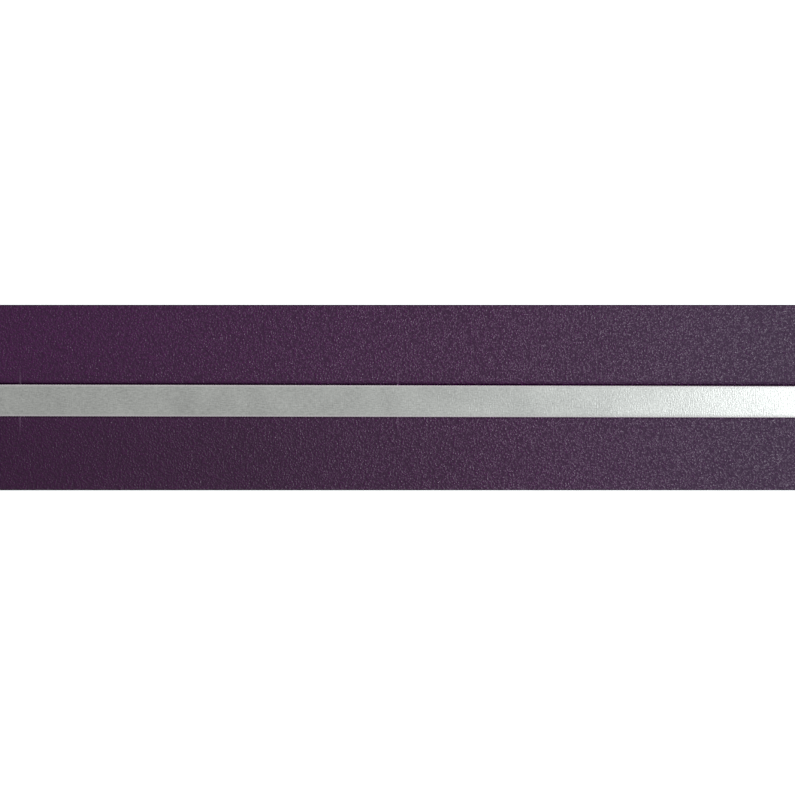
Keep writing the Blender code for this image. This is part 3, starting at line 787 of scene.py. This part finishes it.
def rim_points(side):
    """Rounding of one edge, from the outside in."""
    t, sign = RIBBON_T / 2, math.copysign(1.0, side)
    return [(side, 0.4 * t), (side - sign * EDGE, t), (side - sign * 3 * EDGE, t)]


def build_purple():
    line, front = ribbon_line()

    def section(i, gone):
        x = line[i][0]
        unwound = i < front
        half = plan_width(x) / 2 if unwound else RIBBON_W / 2
        shift = telescoped(gone, i - front)
        middle = stripe_middle(x, unwound)
        return purple_section(half, middle, shift, CREASE if unwound else 0.0), middle + shift

    shape, lay = sweep_band(line, section)
    ribbon = piece("purple_ribbon", shape, PURPLE, "ribbon", "ribbon_run", "ribbon_lead",
                   "ribbon_roll", lay=lay, sharp=50.0)
    cut(ribbon, eyelet_hole())
    return ribbon, line, front


def upright(x, y=0.0, z=0.0):
    """Local X points up from this place."""
    return Matrix.Translation((x, y, z)) @ Matrix.Rotation(math.radians(-90.0), 4, "Y")


def eyelet_hole():
    profile = [(0.0, 0.0), (0.0, EYE_BARREL_R), (0.006, EYE_BARREL_R), (0.006, 0.0)]
    return placed(lathe(profile, 48), upright(EYE_X))


def silver_section(width, thick, middle, rise):
    """Thin band, flat across its face and rounded off at both edges."""
    half = width / 2
    side = [(half, 0.25), (half - 0.00003, 0.44), (half - 0.00010, 0.50), (half - 0.0008, 0.50)]
    top = side + [(0.0, 0.50)] + [(-y, n) for y, n in side[::-1]]
    return [(middle + y, rise + thick * n) for y, n in top] \
        + [(middle + y, rise - thick * n) for y, n in top[::-1]]


def build_silver(line, front):
    start = next(i for i, (x, z) in enumerate(line) if x < PATCH_X - 0.0004)
    outer_turn = front + int(TURN_R * (TURN_FULL + 0.35) / WOUND_STEP)
    path = line[start:]

    def thickness(i):
        wound = min(max((i + start - outer_turn) / 30.0, 0.0), 1.0)
        return STRIPE_T + (STRIPE_T_WOUND - STRIPE_T) * wound

    def section(i, gone):
        unwound = i + start < front
        thick = thickness(i)
        middle = stripe_middle(path[i][0], unwound) + telescoped(gone, i + start - front)
        rise = RIBBON_T / 2 + AIR + thick / 2
        return silver_section(STRIPE_W - 2 * LOOP_OUT, thick, middle, rise), middle

    shape, lay = sweep_band(path, section)
    silver = piece("silver_ribbon", shape, SILVER, "ribbon", "silver_stripe", lay=lay, sharp=60.0)
    return [silver] + build_selvedges(line[start:outer_turn])


def build_selvedges(path):
    """A scalloped yarn along each edge of the silver ribbon."""
    outward, gone = out_of(path), run_lengths(path)
    steps = np.arange(0.0, gone[-1], LOOP_PITCH / 5)
    columns = np.hstack([np.array(path), outward]).T
    xs, zs, nx, nz = (np.interp(steps, gone, column) for column in columns)
    rise = RIBBON_T / 2 + AIR + STRIPE_T * 0.5
    made = []
    for name, side in (("selvedge_left", 1), ("selvedge_right", -1)):
        route = []
        for s, x, z, ax, az in zip(steps, xs, zs, nx, nz):
            swell = abs(math.sin(math.pi * s / LOOP_PITCH))
            middle = stripe_middle(max(x, LIE_X), True)
            y = middle + side * (STRIPE_W / 2 - LOOP_YARN - LOOP_OUT * (1 - swell))
            lift = rise + 0.00003 * (swell - 0.5)
            route.append((x + ax * lift, y, z + az * lift))
        shape = tube(route, LOOP_YARN, 5)
        lay = [(steps[i // 5], v[1], 0.0) for i, v in enumerate(shape[0])]
        made.append(piece(name, shape, YARN, "ribbon", lay=lay))
    return made


def flat_section(half, lift, thick):
    """A plain band with softened edges, lift above the line."""
    t, rim = thick / 2, min(EDGE, thick * 0.4)
    side = [(half - 3 * rim, t), (half - rim, t), (half, 0.4 * t), (half, -0.4 * t),
            (half - rim, -t), (half - 3 * rim, -t)]
    return [(y, n + lift) for y, n in side] + [(-y, n + lift) for y, n in side[::-1]]


def plain_band(line, inset, lift, thick):
    """A band as wide as the ribbon is there, less an inset on each side."""
    def section(i, gone):
        return flat_section(plan_width(line[i][0]) / 2 - inset, lift, thick), NO_STRIPE

    return sweep_band(line, section)


def build_doubling():
    """The ply folded back under the end, stitched to the main one."""
    shape, lay = plain_band(flat_line(DOUBLE_X, tongue_end(80)), 0.0, -PLY_STEP, RIBBON_T)
    ply = piece("doubled_ply", shape, PURPLE, "ribbon", "ribbon_doubling", lay=lay, sharp=50.0)
    cut(ply, eyelet_hole())
    return ply


def build_patches():
    line = flat_line(PATCH_X, tongue_end(75))
    above = RIBBON_T / 2 + PLY_GAP + PATCH_T / 2
    made = []
    for name, node, lift in (("patch_upper", "patch_top", above),
                             ("patch_lower", "patch_bottom", -above - PLY_STEP)):
        shape, lay = plain_band(line, PATCH_INSET, lift, PATCH_T)
        patch = piece(name, shape, PATCH, "ribbon", node, lay=lay, sharp=50.0)
        cut(patch, eyelet_hole())
        made.append(patch)
    return made


def build_hem():
    """The wound end is folded over once and lies inside the core."""
    line = []
    for i in range(41):
        turn = math.radians(200 + 100 * i / 40)
        line.append((ROLL_X + HEM_R * math.cos(turn), ROLL_Z + HEM_R * math.sin(turn)))
    shape, lay = plain_band(line, HEM_INSET, 0.0, HEM_T)
    return piece("hem", shape, PURPLE, "ribbon", "tail_hem", lay=lay)


def build_stitches():
    """Running stitches down both edges and a zigzag bar tack where the ribbon has narrowed."""
    made = []
    for name, side, node in (("stitches_left", 1, "edge_stitch_left"),
                             ("stitches_right", -1, "edge_stitch_right")):
        route = []
        for x in np.arange(DOUBLE_X + 0.002, PATCH_X - 0.0015, STITCH_PITCH / 12):
            beat = ((x - DOUBLE_X) / STITCH_PITCH) % 1.0
            rise = 0.00016 * math.sin(math.pi * min(beat / 0.8, 1.0)) ** 0.5 - 0.00006
            if beat > 0.8:
                rise = -0.00006 - 0.0004 * math.sin(math.pi * (beat - 0.8) / 0.2)
            y = side * (plan_width(x) / 2 - SEAM_IN)
            route.append((x, y, ribbon_height(x) + RIBBON_T / 2 + rise))
        made.append(piece(name, tube(route, STITCH_R, 10), THREAD, "ribbon", node))
    route = []
    turns = 11
    for i in range(turns * 12 + 1):
        beat = i / 12
        swing = math.asin(math.sin(math.pi * (beat + 0.5))) * 2 / math.pi
        x = TACK_X + TACK_L * beat / turns
        base = ribbon_height(x) + RIBBON_T / 2 + PLY_GAP + PATCH_T
        route.append((x, TACK_HALF * swing, base + 0.00010 * (1 - abs(swing) ** 6)))
    made.append(piece("zigzag_tack", tube(route, STITCH_R, 10), THREAD, "ribbon", "bar_tack"))
    return made


def build_eyelet():
    """Rolled flange on the face, washer crimped on the back."""
    top = ribbon_height(EYE_X) + RIBBON_T / 2 + PLY_GAP + PATCH_T + 0.00004
    back = ribbon_height(EYE_X) - PLY_STEP - RIBBON_T / 2 - PLY_GAP - PATCH_T - 0.00004
    crown, washer_t = 0.00045, 0.00035
    flange = []
    for i in range(13):
        turn = math.radians(180 * i / 12)
        mid_r, half = (EYE_FLANGE_R + EYE_BORE_R) / 2, (EYE_FLANGE_R - EYE_BORE_R) / 2
        flange.append((top + crown * math.sin(turn), mid_r + half * math.cos(turn)))
    barrel = [(back - washer_t, EYE_BORE_R), (back - washer_t - 0.00005, EYE_BARREL_R - 0.00008),
              (back - washer_t + 0.0001, EYE_BARREL_R), (top, EYE_BARREL_R)]
    piece("eyelet_flange", placed(lathe(barrel + flange, 96), upright(EYE_X)), NICKEL, "ribbon",
          "eyelet_front")
    washer = [(back - washer_t, EYE_BARREL_R + 0.00006), (back - washer_t, EYE_WASHER_R),
              (back, EYE_WASHER_R), (back, EYE_BARREL_R + 0.00006)]
    piece("eyelet_back_washer", placed(lathe(rounded(washer, 0.00012), 96), upright(EYE_X)),
          NICKEL, "ribbon", "eyelet_washer")


# -------- tie round the roll

def strap(route, outward, half, thick, closed=False):
    """Flat strap in the YZ plane; half gives the half width at each point."""
    verts = []
    for (y, z), (oy, oz), reach in zip(route, outward, half):
        rim = min(0.00025, reach * 0.5)
        side = [(reach - rim, 0.5), (reach, 0.25), (reach, -0.25), (reach - rim, -0.5)]
        for across, depth in side + [(-a, -d) for a, d in side]:
            verts.append((ROLL_X + across, y + oy * depth * thick, z + oz * depth * thick))
    return verts, loop_faces(len(route), 8, closed)


def build_tie():
    """Loop of hook-and-loop strap through the core, its free end pressed down on top."""
    low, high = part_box("tie_strap")
    half_y, top, foot = high.y - TIE_T / 2, high.z - TIE_T / 2, low.z + TIE_T / 2
    route = rounded_box(-half_y, half_y, foot, top, TIE_ROUND, 12)
    outward = [(math.cos(turn), math.sin(turn)) for turn, x_sign, z_sign in corner_turns(12)]
    half = [(high.x - low.x) / 2] * len(route)
    piece("tie", strap(route, outward, half, TIE_T, True), STRAP, "ribbon", "tie_strap")
    low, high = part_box("tie_tab")
    width = (high.x - low.x) / 2
    route, outward, half = [], [], []
    for i in range(33):
        t = -1 + i / 16
        y = (low.y + high.y) / 2 + t * (high.y - low.y) / 2
        end = (high.y - low.y) / 2 * (1 - abs(t))
        curl = 0.00012 * max(0.0, t - 0.7) / 0.3
        route.append((y, (low.z + high.z) / 2 + curl))
        outward.append((0.0, 1.0))
        half.append(width * (0.55 + 0.45 * math.sqrt(min(end / 0.003, 1.0))))
    piece("tie_end", strap(route, outward, half, TIE_T * 0.96), STRAP, "ribbon", "tie_tab")


# -------- clip and swivel

SNAP = line_frame("eyelet_swing", "eyelet_swing", "swivel_swing")
GATE = line_frame("gate_open", "eyelet_swing", "swivel_swing")
SWIVEL = line_frame("swivel_swing", "swivel_swing", "ring_swing")
RING = line_frame("ring_swing", "ring_swing", "stick_lift")
TIP = line_frame("stick_lift", "stick_lift", "stick_spin")
STICK = line_frame("stick_spin", "stick_lift", "stick_spin")
LINK_S = (at("swivel_swing") - at("eyelet_swing")).length
FAR_S = (at("ring_swing") - at("swivel_swing")).length
RING_S = (at("stick_lift") - at("ring_swing")).length
TIP_S = (at("stick_spin") - at("stick_lift")).length
GATE_S = (SNAP.inverted() @ at("gate_open")).x
SIDEWAYS = Matrix.Rotation(math.radians(90.0), 4, "Z")


def crosswise(x, y, z):
    """Local X points along the frame's Y from this place."""
    return Matrix.Translation((x, y, z)) @ SIDEWAYS


def plate(outline, start, stop, bevel=0.00008):
    """A flat plate standing in the XZ plane between two Y values, with eased edges."""
    middle = np.mean(np.array(outline), axis=0)
    rows = ((start, bevel), (start + bevel, 0.0), (stop - bevel, 0.0), (stop, bevel))
    verts = []
    for y, inset in rows:
        for point in outline:
            out = np.array(point) - middle
            x, z = middle + out * (1 - inset / np.linalg.norm(out))
            verts.append(Vector((x, y, z)))
    return verts, loop_faces(len(rows), len(outline))


def arc(centre_x, start, stop, steps):
    pts = []
    for i in range(steps + 1):
        turn = math.radians(start + (stop - start) * i / steps)
        pts.append(Vector((centre_x + HOOK_R * math.cos(turn), 0.0, HOOK_R * math.sin(turn))))
    return pts


def build_snap():
    """Carabiner of round wire, its rear ring, and the fork that holds the gate."""
    wire = arc(HOOK_NEAR, NOSE_TURN, 270, 60) + arc(HOOK_FAR, -90, BRIDGE_TURN, 56)
    radii = [HOOK_WIRE] * len(wire)
    for i, share in enumerate((0.55, 0.83, 0.96)):
        radii[i] = HOOK_WIRE * share
    parts = [tube(wire, radii, 24), ring(LINK_S - REAR_R, REAR_R, True, 72, REAR_WIRE)]
    parts.append(plate(rounded_box(GATE_S + 0.0011, GATE_S + 0.0021, 0.0030, 0.0047, 0.0003),
                       -BRIDGE_Y, BRIDGE_Y))
    cheek = rounded_box(GATE_S - 0.0009, GATE_S + 0.0015, 0.0032, 0.0046, 0.00065, 8)
    for side in (-1, 1):
        inner, outer = sorted(side * y for y in CHEEKS)
        parts.append(plate(cheek, inner, outer))
    piece("snap_hook", placed(joined(*parts), SNAP), NICKEL, "snap", "snap_body")
    seat = CHEEKS[1] + FIT
    pin = [(-PIN_HALF, 0.0), (-PIN_HALF, PIN_HEAD_R), (-seat, PIN_HEAD_R), (-seat, PIN_R),
           (seat, PIN_R), (seat, PIN_HEAD_R), (PIN_HALF, PIN_HEAD_R), (PIN_HALF, 0.0)]
    where = SNAP @ crosswise(GATE_S, 0.0, HOOK_R)
    piece("gate_pin", placed(lathe(rounded(pin), 40), where), STEEL, "snap", "snap_pivot_pin")
    coil = []
    for i in range(121):
        turn = math.radians(COIL_TURN * i / 120)
        coil.append((GATE_S + COIL_R * math.cos(turn), 0.00027 + 0.00038 * i / 120,
                     HOOK_R + COIL_R * math.sin(turn)))
    piece("spring", placed(tube(coil, COIL_WIRE, 10), SNAP), STEEL, "snap", "gate_spring")


def build_gate():
    """Knuckle on the pin and a round bar that closes on the hook's nose."""
    knuckle = [(-0.0004, 0.00041), (-0.0004, GATE_HUB_R), (0.0004, GATE_HUB_R), (0.0004, 0.00041)]
    eye = placed(lathe(rounded(knuckle, 0.00008), 48), crosswise(0.0, -0.0003, 0.0))
    reach = GATE_NOSE - GATE_S
    bar = [(reach, 0.0), (reach, HOOK_WIRE - 0.0002), (reach + 0.0002, HOOK_WIRE),
           (reach + 0.0011, HOOK_WIRE), (reach + 0.0012, HOOK_WIRE - 0.00012),
           (reach + 0.0015, HOOK_WIRE - 0.00012), (reach + 0.0016, HOOK_WIRE),
           (-0.0013, HOOK_WIRE), (-0.00065, 0.0004), (-0.00065, 0.0)]
    rod = placed(lathe(rounded(bar), 40), Matrix.Translation((0.0, -0.00015, 0.0)))
    piece("gate", placed(joined(eye, rod), GATE), NICKEL, "gate", "snap_gate")


def wire_eye(eye_s, stem_end, head, direction=1):
    """Wire ring with a collar, a straight stem and a round head inside the barrel."""
    start = eye_s + direction * (EYE_R - 0.0003)
    stem_r, head_r, head_l = head
    neck = stem_r + 0.0002
    profile = [(start, 0.0), (start, neck), (start + direction * 0.0005, neck),
               (start + direction * 0.0008, stem_r), (stem_end, stem_r), (stem_end, head_r),
               (stem_end + direction * head_l, head_r), (stem_end + direction * head_l, 0.0)]
    loop = ring(eye_s, EYE_R, False, 72, EYE_WIRE)
    return joined(loop, lathe(rounded(profile, 0.0001), 40))


def build_swivel():
    """Two wire eyes held by their heads in the barrel, and the link ring."""
    half, middle = BARREL_L / 2, (EYE_S + FAR_S) / 2
    head = (0.0006, 0.0014, 0.0010)
    near_eye = wire_eye(EYE_S, middle - half + HEAD_INSET, head)
    far_eye = wire_eye(FAR_S, middle + half - HEAD_INSET, head, -1)
    piece("swivel_eye_near", placed(near_eye, SWIVEL), NICKEL, "swivel", "swivel_eye_snap")
    piece("swivel_eye_far", placed(far_eye, SWIVEL), NICKEL, "swivel", "swivel_eye_tip")
    room, groove = half - BARREL_WALL, 0.00015
    shell = [(-half, BARREL_MOUTH), (-half, 0.0015), (-half + 0.0012, 0.0022),
             (-half + 0.0024, BARREL_R)]
    for x in (-0.0012, 0.0012):
        shell += [(x - 0.0003, BARREL_R), (x, BARREL_R - groove), (x + 0.0003, BARREL_R)]
    shell += [(half - 0.0024, BARREL_R), (half - 0.0012, 0.0022), (half, 0.0015),
              (half, BARREL_MOUTH), (room, BARREL_MOUTH), (room, BARREL_BORE),
              (-room, BARREL_BORE), (-room, BARREL_MOUTH)]
    where = SWIVEL @ Matrix.Translation((middle, 0.0, 0.0))
    piece("barrel", placed(lathe(rounded(shell, 0.0003, 5), 64), where), NICKEL, "barrel",
          "swivel_barrel")
    link = ring(RING_S, RING_R, True, 96, RING_WIRE)
    piece("ring", placed(link, RING), STEEL, "ring", "link_ring")


# -------- stick

def build_tip():
    """Turning eye, the ferrule it turns in, its thrust washer and cross pin."""
    eye = wire_eye(TIP_EYE_S, TIP_S + 0.0026, (0.0008, 0.0017, 0.0012))
    piece("turning_eye", placed(eye, TIP), NICKEL, "tip", "tip_eye")
    groove = FERRULE_R - 0.0003
    ferrule = [(0.0, FERRULE_MOUTH), (0.0, FERRULE_R - 0.0009), (0.0009, FERRULE_R),
               (0.0165, FERRULE_R), (0.0169, groove), (0.0176, groove), (0.0180, FERRULE_R),
               (FERRULE_L - 0.0006, FERRULE_R), (FERRULE_L, groove), (FERRULE_L, SHAFT_TIP_R + FIT),
               (0.0046, SHAFT_TIP_R + FIT), (0.0046, FERRULE_CUP), (0.0014, FERRULE_CUP),
               (0.0014, FERRULE_MOUTH)]
    cup = piece("ferrule", placed(lathe(rounded(ferrule, 0.00012), 72), STICK), ALUMINIUM,
                "stick", "tip_ferrule")
    where = STICK @ upright(CROSS_S)
    hole = [(-0.006, 0.0), (-0.006, CROSS_BORE), (0.006, CROSS_BORE), (0.006, 0.0)]
    cut(cup, placed(lathe(hole, 32), where))
    pin = [(-0.0034, 0.0), (-0.0034, CROSS_R), (0.0034, CROSS_R), (0.0034, 0.0)]
    piece("cross_pin", placed(lathe(rounded(pin), 32), where), STEEL, "stick", "ferrule_pin")
    washer = [(0.0016, FERRULE_MOUTH), (0.0016, 0.0019), (0.0022, 0.0019),
              (0.0022, FERRULE_MOUTH)]
    piece("thrust_washer", placed(lathe(rounded(washer, 0.0001), 48), STICK), STEEL, "stick",
          "tip_thrust_washer")


def build_shaft():
    end = STICK_L - 0.0040
    profile = [(0.0048, 0.0), (0.0048, SHAFT_TIP_R - 0.0003), (0.0051, SHAFT_TIP_R),
               (FERRULE_L, SHAFT_TIP_R)]
    for i in range(1, 41):
        t = i / 40
        profile.append((FERRULE_L + (COLLAR_START - FERRULE_L) * t,
                        SHAFT_TIP_R + (SHAFT_BUTT_R - SHAFT_TIP_R) * t))
    profile += [(end - 0.0002, SHAFT_BUTT_R), (end, SHAFT_BUTT_R - 0.0002), (end, 0.0)]
    piece("shaft", placed(lathe(profile, 64), STICK), FIBREGLASS, "stick", "stick_shaft")


def build_grip():
    bore = SHAFT_BUTT_R + FIT
    collar = [(COLLAR_START + 0.0002, bore), (COLLAR_START + 0.0002, 0.0045),
              (COLLAR_START + 0.0010, COLLAR_R), (GRIP_START - 0.0004, COLLAR_R),
              (GRIP_START - 0.0002, 0.0046), (GRIP_START - 0.0002, bore)]
    piece("collar", placed(lathe(rounded(collar), 64), STICK), PLASTIC, "stick", "grip_collar")
    outline = [(GRIP_START, bore), (GRIP_START, GRIP_R - 0.0004)]
    pitch = (GRIP_END - GRIP_START - 0.004) / GRIP_BANDS
    for i in range(GRIP_BANDS):
        x = GRIP_START + 0.002 + pitch * i
        outline += [(x, GRIP_R), (x + pitch - 0.0020, GRIP_R),
                    (x + pitch - 0.0016, GRIP_R - GROOVE), (x + pitch - 0.0004, GRIP_R - GROOVE)]
    outline += [(GRIP_END - 0.0020, GRIP_R), (GRIP_END - 0.0003, GRIP_R - 0.0003),
                (GRIP_END, GRIP_R - 0.0005), (GRIP_END, bore)]
    piece("grip", placed(lathe(rounded(outline, 0.0004, 4), 72), STICK), RUBBER, "stick",
          "grip_sleeve")
    cap = [(STICK_L - 0.0038, 0.0), (STICK_L - 0.0038, bore), (GRIP_END + 0.0002, bore),
           (GRIP_END + 0.0002, GRIP_R - 0.0003), (GRIP_END + 0.0006, GRIP_R),
           (STICK_L - 0.0010, GRIP_R), (STICK_L, GRIP_R - 0.0010), (STICK_L, 0.0)]
    piece("end_cap", placed(lathe(rounded(cap, 0.0003, 4), 64), STICK), PLASTIC, "stick",
          "grip_end_cap")


# -------- floor, light, camera

def build_floor():
    bpy.ops.mesh.primitive_plane_add(size=8.0, location=(0.0, 0.0, 0.0))
    floor = bpy.context.object
    floor.name = "floor"
    s = Shader("white_floor", 1.0, specular=0.0)
    s.colour((0.94, 0.94, 0.94))
    floor.data.materials.append(s.mat)


def area_light(name, place, aim, size, power, colour):
    data = bpy.data.lights.new(name, "AREA")
    data.shape = "RECTANGLE"
    data.size, data.size_y = size
    data.energy = power
    data.color = colour
    light = linked(name, data)
    light.location = place
    light.rotation_euler = (Vector(aim) - Vector(place)).to_track_quat("-Z", "Y").to_euler()
    light.visible_camera = False


def build_light():
    area_light("key_right", (0.46, 0.02, 1.20), (0.03, 0.0, 0.0), (0.20, 0.26), 12.8,
               (0.93, 0.985, 1.0))
    area_light("soft_back", (-0.20, 1.05, 0.85), (-0.03, 0.0, 0.0), (0.9, 0.6), 7.0,
               (1.0, 0.99, 0.97))
    world = bpy.data.worlds.new("studio")
    bpy.context.scene.world = world
    world.use_nodes = True
    background = world.node_tree.nodes["Background"]
    background.inputs["Color"].default_value = (1.0, 1.0, 1.0, 1.0)
    background.inputs["Strength"].default_value = 0.50


def build_camera():
    data = bpy.data.cameras.new("camera")
    data.sensor_width = SENSOR
    data.lens = SENSOR * CAMERA_HEIGHT / VIEW_WIDTH
    camera = linked("camera", data)
    camera.location = (0.0, 0.0, CAMERA_HEIGHT)
    bpy.context.scene.camera = camera
    bpy.context.scene.view_settings.view_transform = "Standard"


build_camera()
build_floor()
build_light()
RIBBON, RIBBON_PATH, FRONT_COUNT = build_purple()
SEWN_ON = build_silver(RIBBON_PATH, FRONT_COUNT) + build_stitches() + [build_hem()]
build_doubling()
for made_patch in build_patches():
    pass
build_eyelet()
build_tie()
build_snap()
build_gate()
build_swivel()
build_tip()
build_shaft()
build_grip()
